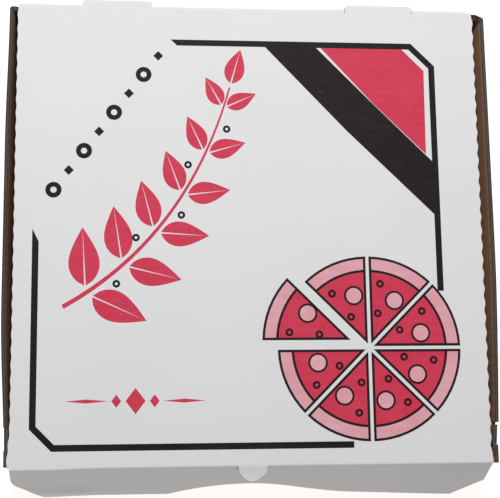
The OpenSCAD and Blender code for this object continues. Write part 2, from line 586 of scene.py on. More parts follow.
def link(name: str, data: bpy.types.ID) -> bpy.types.Object:
    """Make an object and link it to the scene.

    Args:
        name: The object's name.
        data: Its mesh, camera or light.

    Returns:
        The object.
    """
    made = bpy.data.objects.new(name, data)
    bpy.context.scene.collection.objects.link(made)
    return made


def make_object(name: str, shape: bmesh.types.BMesh, materials: Sequence[Material]) -> Piece:
    """Turn a bmesh into a smooth-shaded object with sharp cut edges.

    Args:
        name: The object's name.
        shape: The mesh, freed here.
        materials: Material slots in order.

    Returns:
        The object, linked to the scene.
    """
    data = bpy.data.meshes.new(name)
    for face in shape.faces:
        face.smooth = True
    shape.to_mesh(data)
    shape.free()
    data.set_sharp_from_angle(angle=SHARP_ANGLE)
    for material in materials:
        data.materials.append(material)
    return link(name, data)


@dataclass
class Shell:
    """A board piece in the making: closed plates of paper in one mesh."""

    board: Board
    mesh: bmesh.types.BMesh = field(default_factory=bmesh.new)

    def __post_init__(self) -> None:
        """Give the mesh its map of the flutes."""
        self.uv = self.mesh.loops.layers.uv.new(BOARD_UV)

    def plate(self, columns: Sequence[float], rows: Sequence[float], spot: SpotMap, near: Depth, far: Depth,
              face: Paper, rest: Paper) -> None:
        """Lay one paper as a closed plate.

        Args:
            columns: Stations of the first panel measure.
            rows: Stations of the second panel measure.
            spot: Place on the panel for a pair of stations.
            near: Depth share of the plate's face.
            far: Depth share of its back.
            face: Paper seen on the face.
            rest: Paper seen on the back and the cut edges.
        """
        last_column, last_row = len(columns) - 1, len(rows) - 1
        grid = bmesh.ops.create_grid(self.mesh, x_segments=last_column, y_segments=last_row, size=1.0)
        front = grid["verts"]
        faces = list(dict.fromkeys(quad for vert in front for quad in vert.link_faces))
        grown = bmesh.ops.extrude_face_region(self.mesh, geom=faces)["geom"]
        back = [item for item in grown if isinstance(item, bmesh.types.BMVert)]
        marks: dict[bmesh.types.BMVert, Point] = {}
        for verts, depth in ((front, near), (back, far)):
            for vert in verts:
                column = columns[round((vert.co.x + 1.0) / 2.0 * last_column)]
                row = rows[round((vert.co.y + 1.0) / 2.0 * last_row)]
                here = spot(column, row)
                vert.co = here.outer.lerp(here.inner, depth(here)) * MM
                marks[vert] = (here.along / self.board.pitch, here.across / self.board.pitch)
        shown = set(front)
        plate = list(dict.fromkeys(quad for vert in marks for quad in vert.link_faces))
        for quad in plate:
            quad.material_index = (face if shown.issuperset(quad.verts) else rest).value
            for loop in quad.loops:
                loop[self.uv].uv = marks[loop.vert]
        bmesh.ops.recalc_face_normals(self.mesh, faces=plate)

    def panel(self, spot: SpotMap, columns: Sequence[float], rows: Sequence[float],
              flute_columns: Sequence[float], flute_rows: Sequence[float]) -> None:
        """Lay a panel of board: white facing outside, kraft facing inside, fluted paper between.

        Args:
            spot: Place on the panel for a pair of stations.
            columns: First stations of the facings.
            rows: Second stations of the facings.
            flute_columns: First stations of the fluted paper.
            flute_rows: Second stations of the fluted paper.
        """
        liner = self.board.liner_share
        facings = ((Paper.WHITE, 0.0, liner), (Paper.KRAFT, 1.0, 1.0 - liner))
        for paper, near, far in facings:
            self.plate(columns, rows, spot, lambda here: near, lambda here: far, paper, Paper.FLUTING)
        near_face, far_face = (partial(self.board.medium_share, face=face) for face in SIDES)
        self.plate(flute_columns, flute_rows, spot, near_face, far_face, Paper.FLUTING, Paper.FLUTING)

    def piece(self, name: str, papers: Papers) -> Piece:
        """Turn the mesh into an object with the papers as its material slots."""
        return make_object(name, self.mesh, [papers[paper] for paper in Paper])


@dataclass
class FoldPaper:
    """Outer facing that runs round a hinge fold from one panel to the next.

    Shares across the paper run from 0 on the first panel to 1 on the second, with the bend between arc_start
    and arc_stop. The place function takes the distances along the fold, onwards from it and down.
    """

    board: Board
    place: Callable[[float, float, float], Vector]
    turn: Callable[[float], float]
    lap: float = 3.5
    radius: float = 1.5
    proud: float = 0.03
    paper: float = 0.3
    arc_start: float = 0.3
    arc_stop: float = 0.7
    arc_step: float = 0.04
    step: float = 8.0
    extra: Sequence[float] = ()

    def point(self, x: float, share: float, depth: float) -> Vector:
        """Find a point of the paper.

        Args:
            x: Distance along the fold.
            share: Place across the fold.
            depth: Distance below the paper's face.

        Returns:
            The point in millimetres.
        """
        turn = self.turn(x)
        tangent = self.radius * math.tan(turn / 2.0)
        angle = turn * limited((share - self.arc_start) / (self.arc_stop - self.arc_start))
        lift = self.proud - depth
        before = max(0.0, self.arc_start - share) / self.arc_start * (self.lap - tangent)
        after = max(0.0, share - self.arc_stop) / (1.0 - self.arc_stop) * (self.lap - tangent)
        run = -tangent + (self.radius + lift) * math.sin(angle) + after * math.cos(turn) - before
        drop = self.radius - (self.radius + lift) * math.cos(angle) + after * math.sin(turn)
        return self.place(x, run, drop)

    def spot(self, x: float, share: float) -> Spot:
        """Place on the paper."""
        outer, inner = (self.point(x, share, depth) for depth in (0.0, self.paper))
        return Spot(outer, inner, x, 0.5 * self.board.pitch)

    def build(self, name: str, stretch: Point, papers: Papers) -> Piece:
        """Build the paper over one stretch of the fold.

        Args:
            name: The piece's name.
            stretch: Start and end of the stretch.
            papers: Material of each paper.

        Returns:
            The piece.
        """
        shell = Shell(self.board)
        before, after = self.arc_start / 2.0, (self.arc_stop + 1.0) / 2.0
        rows = [0.0, before, *stations(self.arc_start, self.arc_stop, self.arc_step), after, 1.0]
        columns = stations(*stretch, self.step, self.extra)
        shell.plate(columns, rows, self.spot, lambda here: 0.0, lambda here: 1.0, Paper.WHITE, Paper.KRAFT)
        return shell.piece(name, papers)


@dataclass(frozen=True)
class CutEdge:
    """How one side of the lid is cut: depth of its wave, skew towards the rear and flare at the front."""

    wave: float
    skew: float
    flare: Ramp


@dataclass
class Lid:
    """Lid panel: wavy cut sides, two tabs behind the rear fold and a half-round thumb tab at the front.

    The rear fold's facing bulges by rear_bulge, and by more or less towards its ends.
    """

    layout: Layout
    board: Board
    left_edge: CutEdge = CutEdge(wave=0.5, skew=0.0, flare=Ramp(1.5, -128.0, -26.0))
    right_edge: CutEdge = CutEdge(wave=0.9, skew=0.6, flare=Ramp(1.7, -149.0, -8.0))
    wave_pitch: float = 10.0
    wave_steps: int = 8
    skew_reach: float = 40.0
    fold_inset: float = 1.0
    tab_x: float = 91.0
    tab_shift: float = 0.9
    tab_half: float = 24.0
    tab_round: float = 2.4
    tab_corners: Sequence[float] = (0.1, 0.3, 0.6, 1.0, 1.5, 2.0)
    tab_stretch: float = 1.0
    tab_gap: float = 0.3
    thumb_x: float = -1.5
    thumb_droop: float = 0.34
    thumb_lift: float = 0.12
    thumb_trim: float = 0.95
    trim_power: float = 1.5
    rear_bulge: float = 1.35
    right_bulge: Ramp = Ramp(0.85, 15.0, 55.0)
    left_bulge: Ramp = Ramp(0.3, -91.0, -91.0)
    bulge_start: Ramp = Ramp(1.0, -3.0, 2.5)
    bulge_end: Ramp = Ramp(1.0, 1.5, 2.0)
    corner_round: float = 1.3
    round_run: float = 6.0
    round_step: float = 1.0
    fold_end: float = 0.8
    facing_step: float = 14.0
    fluting_step: float = 30.0
    tab_step: float = 6.0
    tab_share: float = 0.125
    thumb_share: float = 0.05
    thumb_reach: int = 90
    thumb_angle: int = 9

    @property
    def thumb_r(self) -> float:
        """Radius of the thumb tab."""
        return self.layout.front_y - self.layout.thumb_y

    @property
    def front_end(self) -> float:
        """Depth where the lid's board stops before the front fold."""
        return self.layout.front_y + self.fold_inset

    @property
    def rear_end(self) -> float:
        """Depth where the lid's board stops before the rear fold."""
        return self.layout.rear_y - self.fold_inset

    @property
    def tabs(self) -> tuple[Point, Point]:
        """Left and right ends of both hinge tabs, the right one slightly out of the middle."""
        near, far = self.tab_x - self.tab_half, self.tab_x + self.tab_half
        return (-far, -near), (near + self.tab_shift, far + self.tab_shift)

    @property
    def thumb(self) -> Point:
        """Left and right ends of the thumb tab."""
        return self.thumb_x - self.thumb_r, self.thumb_x + self.thumb_r

    def half_width(self, y: float, side: int) -> float:
        """Half width of the lid along a wavy cut edge.

        Args:
            y: Depth.
            side: 1 on the right, -1 on the left.

        Returns:
            Distance of the edge from the lid's middle.
        """
        edge = self.right_edge if side > 0 else self.left_edge
        wave = edge.wave * (1.0 - math.cos(math.tau * y / self.wave_pitch)) / 2.0
        return self.layout.lid_half - wave + edge.skew * y / self.layout.rear_y + edge.flare.at(y)

    def in_tab(self, x: float) -> float:
        """Distance inside the nearer hinge tab's side, below zero outside it."""
        return max(min(x - left, right - x) for left, right in self.tabs)

    def tab_end(self, x: float) -> float:
        """Depth of a hinge tab's rear end, round at its corners.

        Args:
            x: Width.

        Returns:
            The depth.
        """
        corner = max(0.0, self.tab_round - self.in_tab(x))
        round_end = math.sqrt(self.tab_round ** 2 - corner ** 2) - self.tab_round
        return self.layout.tab_y + self.tab_stretch + round_end

    def thumb_rim(self, x: float) -> float:
        """Depth of the thumb tab's rim, trimmed on its right.

        Args:
            x: Width.

        Returns:
            The depth.
        """
        share = min(1.0, abs(x - self.thumb_x) / self.thumb_r)
        reach = self.thumb_r * math.sqrt(1.0 - share ** 2)
        if x > self.thumb_x:
            reach -= self.thumb_trim * math.sin(math.pi * share ** self.trim_power)
        return self.layout.front_y - reach

    def spot(self, x: float, y: float) -> Spot:
        """Place on the lid between its folds.

        Args:
            x: Width, before the wavy cut.
            y: Depth.

        Returns:
            The place.
        """
        side = x / self.layout.lid_half * self.half_width(y, 1 if x > 0.0 else -1)
        top = self.layout.fold_z
        thick = self.board.thickness
        if abs(x - self.thumb_x) >= self.thumb_r:
            thick = min(thick, self.board.creased(y - self.front_end))
        if self.in_tab(x) <= 0.0:
            thick = min(thick, self.board.creased(self.rear_end - y))
        skewed = self.layout.front_skew.at(x) * smooth((self.front_end - y) / self.skew_reach + 1.0)
        return Spot(Vector((side, y - skewed, top)), Vector((side, y - skewed, top - thick)), side, y)

    def tab_spot(self, x: float, y: float) -> Spot:
        """Place on a tab, which droops where it stands out past the front fold.

        Args:
            x: Width.
            y: Depth.

        Returns:
            The place.
        """
        out = max(0.0, self.layout.front_y - y)
        top = self.layout.fold_z - out * (self.thumb_droop - self.thumb_lift * out / self.thumb_r)
        return Spot(Vector((x, y, top)), Vector((x, y, top - self.board.thickness)), x, y)

    def hinge_tab_spot(self, x: float, share: float) -> Spot:
        """Place on a hinge tab: width, then share from the lid's rear end to the tab's."""
        return self.tab_spot(x, self.rear_end + (self.tab_end(x) - self.rear_end) * share)

    def thumb_tab_spot(self, x: float, share: float) -> Spot:
        """Place on the thumb tab: width, then share from the tab's rim to the lid's front end."""
        rim = self.thumb_rim(x)
        return self.tab_spot(x, rim + (self.front_end - rim) * share)

    def rear_place(self, x: float, run: float, drop: float) -> Vector:
        """Point at the rear fold, whose facing bulges out at the crease.

        Args:
            x: Width.
            run: Distance behind the fold.
            drop: Distance below the lid's face.

        Returns:
            The point.
        """
        layout = self.layout
        bulge = self.rear_bulge + self.right_bulge.at(x) + self.left_bulge.at(x)
        bulge -= self.corner_round * smooth((x - layout.lid_half) / self.round_run + 1.0)
        bulge *= self.bulge_start.at(run) * (1.0 - self.bulge_end.at(drop))
        return Vector((x, layout.rear_y + run + bulge, layout.fold_z - drop))

    def columns(self, step: float) -> list[float]:
        """Spread stations over the width, with cuts where the tabs begin."""
        ends = [end for tab in (*self.tabs, self.thumb) for end in tab]
        return stations(-self.layout.lid_half, self.layout.lid_half, step, cut_at(*ends))

    def rows(self, step: float) -> list[float]:
        """Spread stations over the depth, closer at the folds."""
        near = [end for row in self.board.crease_rows for end in (self.front_end + row, self.rear_end - row)]
        return stations(self.front_end, self.rear_end, step, near)

    def build(self, papers: Papers) -> Piece:
        """Build the lid and let it stand for the lid's solid.

        Args:
            papers: Material of each paper.

        Returns:
            The piece.
        """
        shell = Shell(self.board)
        shell.panel(self.spot, self.columns(self.facing_step), self.rows(self.wave_pitch / self.wave_steps),
                    self.columns(self.fluting_step), self.rows(self.board.flute_step))
        shares = stations(0.0, 1.0, self.tab_share)
        for left, right in self.tabs:
            corners = [end for inset in self.tab_corners for end in (left + inset, right - inset)]
            columns = stations(left, right, self.tab_step, corners)
            shell.panel(self.hinge_tab_spot, columns, shares, columns, shares)
        columns = round_stations(self.thumb_x, self.thumb_r, self.thumb_reach, self.thumb_angle)
        shell.panel(self.thumb_tab_spot, columns, shares, columns, stations(0.0, 1.0, self.thumb_share))
        piece = shell.piece("lid_board", papers)
        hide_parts("lid")
        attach(piece, "lid")
        return piece

    def build_rear_fold(self, papers: Papers) -> list[Piece]:
        """Build the facing round the rear fold, in the stretches beside and between the tabs.

        Args:
            papers: Material of each paper.

        Returns:
            The pieces.
        """
        layout = self.layout
        end = layout.lid_half - self.fold_end
        rounded = stations(layout.lid_half - self.round_run, end, self.round_step)
        fold = FoldPaper(self.board, self.rear_place, lambda x: QUARTER, extra=rounded)
        left, right = self.tabs
        stretches = {
            "rear_fold_left": (-end, left[0] - self.tab_gap),
            "rear_fold_middle": (left[1] + self.tab_gap, right[0] - self.tab_gap),
            "rear_fold_right": (right[1] + self.tab_gap, end),
        }
        pieces = []
        for name, stretch in stretches.items():
            piece = fold.build(name, stretch, papers)
            (layout.rear_y - fold.radius) * MM
            (layout.fold_z - fold.radius) * MM
            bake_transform(piece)
            pieces.append(piece)
        return pieces


@dataclass
class FrontFlap:
    """Flap on the lid's front fold: slanted ends, wavy recess, cut round the thumb tab, slightly warped."""

    layout: Layout
    board: Board
    thumb_x: float
    thumb_r: float
    length: float = 38.0
    half: float = 158.6
    left_end: float = 19.0
    right_end: float = 20.7
    slant: float = 20.0
    left_round: float = 3.0
    round_run: float = 2.0
    round_step: float = 0.4
    end_taper: float = 0.09
    taper_run: float = 50.0
    recess_left: float = 54.5
    recess_right: float = 70.0
    recess_h: float = 13.6
    thumb_gap: float = 0.4
    thumb_reach: int = 80
    thumb_angle: int = 10
    slit: float = 0.1
    fold_inset: float = 1.0
    lean_less: float = math.radians(0.7)
    twist: Ramp = Ramp(math.radians(5.5), 40.0, 110.0)
    ridge: float = 0.9
    ridge_x: float = -125.0
    ridge_half: float = 38.0
    ridge_run: float = 32.0
    ridge_rise: float = 7.0
    facing_step: float = 4.0
    fluting_step: float = 8.0
    row_share: float = 0.06
    fold_shares: Sequence[float] = (0.02, 0.04, 0.065, 0.09, 0.12)

    @property
    def cut_r(self) -> float:
        """Radius of the cut round the thumb tab."""
        return self.thumb_r + self.thumb_gap

    def turn(self, x: float) -> float:
        """Angle of the flap below the lid's plane at a width, less where the flap is twisted outward."""
        return self.layout.flap_turn + self.lean_less - self.twist.at(x)

    def top_edge(self, x: float) -> float:
        """Distance of the flap's upper end from the fold at a width."""
        offset = abs(x - self.thumb_x)
        return self.fold_inset if offset >= self.cut_r else math.sqrt(self.cut_r ** 2 - offset ** 2)

    def recess(self, x: float) -> float:
        """Depth of the recess, round on its left flank and wavy on its right one.

        Args:
            x: Width.

        Returns:
            The depth.
        """
        offset = x - self.thumb_x
        if offset < 0.0:
            return self.recess_h * max(0.0, 1.0 - (offset / self.recess_left) ** 2)
        return self.recess_h * (1.0 + math.cos(math.pi * min(1.0, offset / self.recess_right))) / 2.0

    def bottom_edge(self, x: float) -> float:
        """Distance of the flap's lower end from the fold, its left corner worn round.

        Args:
            x: Width.

        Returns:
            The distance.
        """
        slanted = max(0.0, abs(x) - self.half + self.slant) / self.slant
        end = self.right_end if x > 0.0 else self.left_end
        worn = self.left_round * smooth(1.0 - (x + self.half) / self.round_run)
        return self.length - self.recess(x) - (self.length - end) * slanted - worn

    def dent(self, x: float, run: float) -> float:
        """Outward push of the flap's face along a soft crease near its lower left edge.

        Args:
            x: Width.
            run: Distance from the fold.

        Returns:
            The push.
        """
        before = smooth((run - self.ridge_run) / self.ridge_rise + 1.0)
        behind = 1.0 - smooth((run - self.ridge_run) / self.ridge_rise)
        return self.ridge * before * behind * smooth(1.0 - abs(x - self.ridge_x) / self.ridge_half)

    def point(self, x: float, run: float, depth: float) -> Vector:
        """Point of the flap.

        Args:
            x: Width at the fold.
            run: Distance from the fold.
            depth: Distance below the flap's face.

        Returns:
            The point.
        """
        turn, out = self.turn(x), self.dent(x, run) - depth
        cos, sin = math.cos(turn), math.sin(turn)
        point = self.fold_place(x, run * cos + out * sin, run * sin - out * cos)
        point.x = x - self.end_taper * run * smooth((x - self.half) / self.taper_run + 1.0)
        return point

    def fold_place(self, x: float, run: float, drop: float) -> Vector:
        """Point in front of the front fold and below it."""
        fold_y = self.layout.front_y - self.layout.front_skew.at(x)
        return Vector((x, fold_y - run, self.layout.fold_z - drop))

    def spot(self, x: float, share: float) -> Spot:
        """Place on the flap.

        Args:
            x: Width.
            share: Place from the upper end, 0, to the lower end, 1.

        Returns:
            The place.
        """
        top = self.top_edge(x)
        run = top + (self.bottom_edge(x) - top) * share
        thick = self.board.creased(run - self.fold_inset)
        return Spot(self.point(x, run, 0.0), self.point(x, run, thick), x, run)

    def columns(self, step: float) -> list[float]:
        """Spread stations over the width, closer at the thumb cut and the worn corner.

        Args:
            step: Largest distance between two stations.

        Returns:
            The stations.
        """
        extra = cut_at(self.thumb_x - self.cut_r, self.thumb_x + self.cut_r)
        extra += round_stations(self.thumb_x, self.cut_r, self.thumb_reach, self.thumb_angle)
        extra += both([self.half - self.slant]) + [self.thumb_x - self.recess_left]
        extra += stations(-self.half, self.round_run - self.half, self.round_step)
        return stations(-self.half, self.half, step, extra)

    def build(self, papers: Papers) -> Piece:
        """Build the flap and let it stand for the flap's solid.

        Args:
            papers: Material of each paper.

        Returns:
            The piece.
        """
        shell = Shell(self.board)
        rows = stations(0.0, 1.0, self.row_share, self.fold_shares)
        flute_rows = stations(0.0, 1.0, self.board.flute_step / self.length)
        shell.panel(self.spot, self.columns(self.facing_step), rows,
                    self.columns(self.fluting_step), flute_rows)
        piece = shell.piece("flap_board", papers)
        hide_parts("front_flap")
        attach(piece, "front_flap")
        return piece

    def build_fold(self, papers: Papers) -> list[Piece]:
        """Build the facing round the front fold, in the stretches beside the thumb tab.

        Args:
            papers: Material of each paper.

        Returns:
            The pieces.
        """
        layout = self.layout
        fold = FoldPaper(self.board, self.fold_place, self.turn)
        reach = fold.radius * math.tan(layout.flap_turn / 2.0)
        inner = self.thumb_r + self.slit
        stretches = {
            "front_fold_left": (-self.half, self.thumb_x - inner),
            "front_fold_right": (self.thumb_x + inner, self.half),
        }
        pieces = []
        for name, stretch in stretches.items():
            piece = fold.build(name, stretch, papers)
            (layout.front_y + reach) * MM
            (layout.front_y - reach * math.cos(layout.flap_turn)) * MM
            (layout.fold_z - reach * math.sin(layout.flap_turn)) * MM
            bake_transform(piece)
            pieces.append(piece)
        return pieces


@dataclass(frozen=True)
class SideShape:
    """How one side wall stands: its lean, less towards the rear, the front and the toe before the notch.

    The wall's front top runs overrun past the front wall. The rear corner leans back by corner_back, and
    the rear wall's end bends by corner_bend and slants down to corner_z over corner_cut. The rear corner
    flap's top is at relief_z beside its fold. The lock tab's end leaves lock_gap at the notch's rear and
    stands lock_inset in from the wall's face.
    """

    lean: float
    rear: Ramp
    front: Ramp
    toe: Ramp
    overrun: float
    corner_back: float
    corner_bend: float
    corner_z: float
    corner_cut: float
    relief_z: float
    lock_gap: float
    lock_inset: float

    def at(self, y: float) -> float:
        """Outward shift of the wall's top at a depth."""
        return self.lean - self.rear.at(y) - self.front.at(y) - self.toe.at(y)


@dataclass
class Tray:
    """Folded tray: floor, walls that lean outward, and corner flaps locked by tabs in slots and notches.

    A side is 1 on the right and -1 on the left. A wall's measure runs from 0 to 1 round its bent foot and
    from 1 to 2 up the wall. A lock tab's measure runs from 0 to 1 up its flap, to 2 round its bend and to 3
    outward.
    """

    layout: Layout
    board: Board
    left_side: SideShape = SideShape(
        lean=3.0, rear=Ramp(1.5, 60.0, 95.0), front=Ramp(3.35, -50.0, -105.0), toe=Ramp(0.0, -134.0, -10.0),
        overrun=2.2, corner_back=3.0, corner_bend=0.0, corner_z=33.0, corner_cut=0.9, relief_z=42.0,
        lock_gap=0.3, lock_inset=0.4)
    right_side: SideShape = SideShape(
        lean=5.1, rear=Ramp(0.0, 60.0, 95.0), front=Ramp(3.5, -10.0, -150.0), toe=Ramp(0.9, -134.0, -10.0),
        overrun=3.7, corner_back=1.7, corner_bend=-1.3, corner_z=41.5, corner_cut=6.0, relief_z=31.0,
        lock_gap=1.7, lock_inset=0.8)
    foot_x: float = 163.0
    wall_top: float = 43.0
    front_wall_y: float = -153.5
    front_wall_top: float = 41.7
    front_dip: Ramp = Ramp(1.4, -90.0, -50.0)
    overrun_y: float = 1.0
    fold_inset: float = 1.0
    seat_gap: float = 0.3
    corner_run: float = 45.0
    relief_fall: float = 3.0
    relief_width: float = 10.0
    relief_rise: float = 8.0
    notch: Point = (-144.9, -130.1)
    notch_floor: float = 34.6
    front_lock: Point = (-144.5, -130.5)
    front_lock_top: float = 38.0
    front_flap_end: float = -117.5
    front_taper_run: float = 25.0
    rear_flap_len: float = 102.0
    rear_taper_run: float = 40.0
    rear_lean_run: float = 40.0
    flap_taper: float = 7.0
    slot_x: float = 91.0
    slot_half: float = 24.4
    slot_floor: float = 36.5
    rear_lock_half: float = 22.0
    rear_lock_top: float = 39.9
    lock_reach: float = 1.5
    lock_low: float = 0.6
    lock_fray: float = 0.6
    lock_slack: float = 0.1
    lock_bend_drop: float = 5.0
    foot_share: float = 0.2
    fine_foot_share: float = 0.25
    climb_share: float = 0.1
    top_measures: Sequence[float] = (1.94, 1.96, 1.98, 2.0)
    fold_measures: Sequence[float] = (1.88, 1.91, 1.94, 1.97)
    lock_measures: Sequence[float] = (0.0, 1.0, 1.2, 1.4, 1.6, 1.8, 2.0, 3.0)
    flap_share: float = 0.125
    flap_top_shares: Sequence[float] = (0.93, 0.96, 0.98)
    lock_end_shares: Sequence[float] = (0.0, 0.4, 0.6, 0.8, 1.0)
    floor_step: float = 40.0
    side_step: float = 10.0
    front_step: float = 30.0
    rear_step: float = 12.0
    rear_flap_step: float = 8.0
    front_flap_step: float = 6.0
    relief_step: float = 1.0
    bend_step: float = 0.4

    @property
    def in_x(self) -> float:
        """Inner face of a side wall's foot."""
        return self.foot_x - self.board.thickness

    @property
    def front_flap_x(self) -> float:
        """Outer face of the front corner flaps."""
        return self.in_x - self.seat_gap

    @property
    def side_rear_y(self) -> float:
        """Rear end of the side walls and outer face of the rear corner flaps."""
        return self.layout.rear_y - self.board.thickness - self.seat_gap

    @property
    def corner_x(self) -> float:
        """Width where the rear wall's fold ends and its corner slants down."""
        return self.layout.lid_half - 2.0 * self.fold_inset

    @property
    def rear_flap_tip(self) -> float:
        """Width where a rear corner flap ends."""
        return self.in_x - self.rear_flap_len

    @property
    def flap_low(self) -> float:
        """Height of the corner flaps' lower edges."""
        return self.board.thickness + self.seat_gap

    @property
    def climb(self) -> list[float]:
        """Measures of a wall's facings."""
        return stations(0.0, 1.0, self.foot_share) + stations(1.0 + self.climb_share, 2.0, self.climb_share)

    @property
    def fine_climb(self) -> list[float]:
        """Measures of a wall's fluted paper where its flutes lie level."""
        share = self.board.flute_step / self.wall_top
        return stations(0.0, 1.0, self.fine_foot_share) + [1.0 + up for up in stations(share, 1.0, share)]

    @property
    def flap_shares(self) -> list[float]:
        """Shares of a corner flap's height, closer at its top."""
        return stations(0.0, 1.0, self.flap_share, self.flap_top_shares)

    def shape(self, side: int) -> SideShape:
        """Shape of a side wall."""
        return self.right_side if side > 0 else self.left_side

    def rise(self, z: float) -> float:
        """Share of a wall's outward shift at a height."""
        return max(0.0, (z - self.board.bend) / (self.wall_top - self.board.bend))

    def back(self, side: int, from_corner: float, z: float) -> float:
        """Backward lean of a side's rear corner at a distance from it and a height."""
        return self.shape(side).corner_back * self.rise(z) * smooth(1.0 - from_corner / self.corner_run)

    def side_top(self, y: float) -> float:
        """Height of a side wall's top at a depth: notched for the front lock, lower towards the front."""
        notched = self.notch[0] < y < self.notch[1]
        return self.notch_floor if notched else self.wall_top - self.front_dip.at(y)

    def rear_top(self, x: float) -> float:
        """Height of the rear wall's end: fold, slot or slanted corner.

        Args:
            x: Width.

        Returns:
            The height.
        """
        if abs(abs(x) - self.slot_x) < self.slot_half:
            return self.slot_floor
        fold = self.layout.fold_z - self.fold_inset
        shape = self.shape(1 if x > 0.0 else -1)
        return fold + (shape.corner_z - fold) * limited((abs(x) - self.corner_x) / shape.corner_cut)

    def wall(self, measure: float, top: float) -> tuple[Point, Point]:
        """Outer and inner points of an upright wall with its bent foot.

        Args:
            measure: Measure of the wall.
            top: Height of the wall's end.

        Returns:
            Outer and inner point, as distances out of the wall's outer face and up.
        """
        bend, thick = self.board.bend, self.board.thickness
        angle = QUARTER * min(1.0, measure)
        climb = max(0.0, measure - 1.0)
        foot = bend - bend * math.cos(angle)
        outer = (bend * math.sin(angle) - bend, foot + (top - foot) * climb)
        return outer, (-thick, thick + (top - thick) * climb)

    def lock_bend(self, measure: float, top: float, reach: float) -> tuple[Point, Point]:
        """White and kraft points of a lock tab bent over the top of its flap.

        Args:
            measure: Measure of the lock tab.
            top: Height of the tab's upper face.
            reach: Distance of the tab's end from the flap's white face.

        Returns:
            White and kraft point, as distances out of the flap's white face and up.
        """
        thick, bend = self.board.thickness, self.board.bend
        low = top - self.lock_bend_drop
        climb, angle = min(1.0, measure), QUARTER * limited(measure - 1.0)
        out = max(0.0, measure - 2.0)
        white = (reach * out, low + (top - thick - low) * climb)
        kraft_x = -thick + bend - bend * math.cos(angle)
        kraft = (kraft_x + (reach - kraft_x) * out, low + (top - bend - low) * climb + bend * math.sin(angle))
        return white, kraft

    def floor_spot(self, x: float, y: float) -> Spot:
        """Place on the floor, whose inner facing ends at the walls' inner corners.

        Args:
            x: Width.
            y: Depth.

        Returns:
            The place.
        """
        thick, bend = self.board.thickness, self.board.bend
        margin, half = thick - bend, self.foot_x - bend
        front, rear = self.front_wall_y + bend, self.layout.rear_y - bend
        inner_x = x * (half - margin) / half
        inner_y = y + margin - 2.0 * margin * (y - front) / (rear - front)
        return Spot(Vector((x, y, 0.0)), Vector((inner_x, inner_y, thick)), x, y)

    def side_spot(self, side: int, measure: float, y: float) -> Spot:
        """Place on a side wall.

        Args:
            side: The side.
            measure: Measure of the wall.
            y: Depth.

        Returns:
            The place.
        """
        shape, top = self.shape(side), self.side_top(y)
        outer, inner = self.wall(measure, top)
        press = self.board.pressed(top - inner[1])
        ahead = shape.overrun * smooth((self.front_wall_y + self.overrun_y - y) / self.overrun_y)
        points = []
        for out, up in (outer, (inner[0] + self.board.press_pinch * press, inner[1])):
            x = self.foot_x + out + shape.at(y) * self.rise(up)
            shift = self.back(side, self.side_rear_y - y, up) - ahead * self.rise(up)
            points.append(Vector((side * x, y + shift, up)))
        return Spot(points[0], points[1], outer[1], y, press)

    def front_spot(self, x: float, measure: float) -> Spot:
        """Place on the front wall.

        Args:
            x: Width.
            measure: Measure of the wall.

        Returns:
            The place.
        """
        outer, inner = self.wall(measure, self.front_wall_top)
        points = [Vector((x, self.front_wall_y - out, up)) for out, up in (outer, inner)]
        return Spot(points[0], points[1], x, inner[1])

    def rear_spot(self, x: float, measure: float) -> Spot:
        """Place on the rear wall, whose ends follow the side walls and which is thin at its fold.

        Args:
            x: Width.
            measure: Measure of the wall.

        Returns:
            The place.
        """
        side = 1 if x > 0.0 else -1
        shape, top = self.shape(side), self.rear_top(x)
        outer, inner = self.wall(measure, top)
        slot_end = self.slot_x + self.slot_half
        lean = side * shape.at(self.layout.rear_y) * smooth((abs(x) - slot_end) / (self.foot_x - slot_end))
        bend = shape.corner_bend * smooth((abs(x) - self.corner_x) / shape.corner_cut)
        folded = abs(abs(x) - self.slot_x) > self.slot_half and measure > 1.0
        thick = self.board.creased(top - inner[1]) if folded else -inner[0]
        points = []
        for out, up in (outer, (-thick, inner[1])):
            rise = self.rise(up)
            points.append(Vector((x + lean * rise, self.layout.rear_y + out + bend * rise, up)))
        return Spot(points[0], points[1], x, inner[1])

    def rear_flap_spot(self, side: int, share: float, x: float) -> Spot:
        """Place on a rear corner flap, which bends out of the side wall.

        Args:
            side: The side.
            share: Share of the flap's height.
            x: Distance from the box's middle; past the foot's bend it runs round the corner.

        Returns:
            The place.
        """
        shape, thick, bend = self.shape(side), self.board.thickness, self.board.bend
        turn_x = self.foot_x - bend
        in_tab = abs(x - self.slot_x) < self.rear_lock_half
        top = self.rear_lock_top - (self.lock_bend_drop if in_tab else 0.0)
        top += (shape.relief_z - top) * smooth((x - self.in_x + self.relief_width) / self.relief_rise + 1.0)
        top += (self.wall_top - top) * smooth((x - self.in_x) / self.relief_fall + 1.0)
        z = self.flap_low + (top - self.flap_low) * share
        angle = QUARTER * max(0.0, x - turn_x) / bend
        near_tip = 1.0 - smooth((x - self.rear_flap_tip) / self.rear_taper_run)
        taper = self.flap_taper * (1.0 - share) * near_tip
        follow = smooth((x - self.in_x) / self.rear_lean_run + 1.0)
        shift = taper + shape.at(self.side_rear_y) * self.rise(z) * follow
        y = self.side_rear_y + self.back(side, self.foot_x - x, z)
        outer_x = min(x, turn_x) + bend * math.sin(angle) + shift
        outer = Vector((side * outer_x, y - bend + bend * math.cos(angle), z))
        inner = Vector((side * (min(x, self.in_x) + shift), y - thick, z))
        return Spot(outer, inner, z, x, self.board.pressed(top - z))

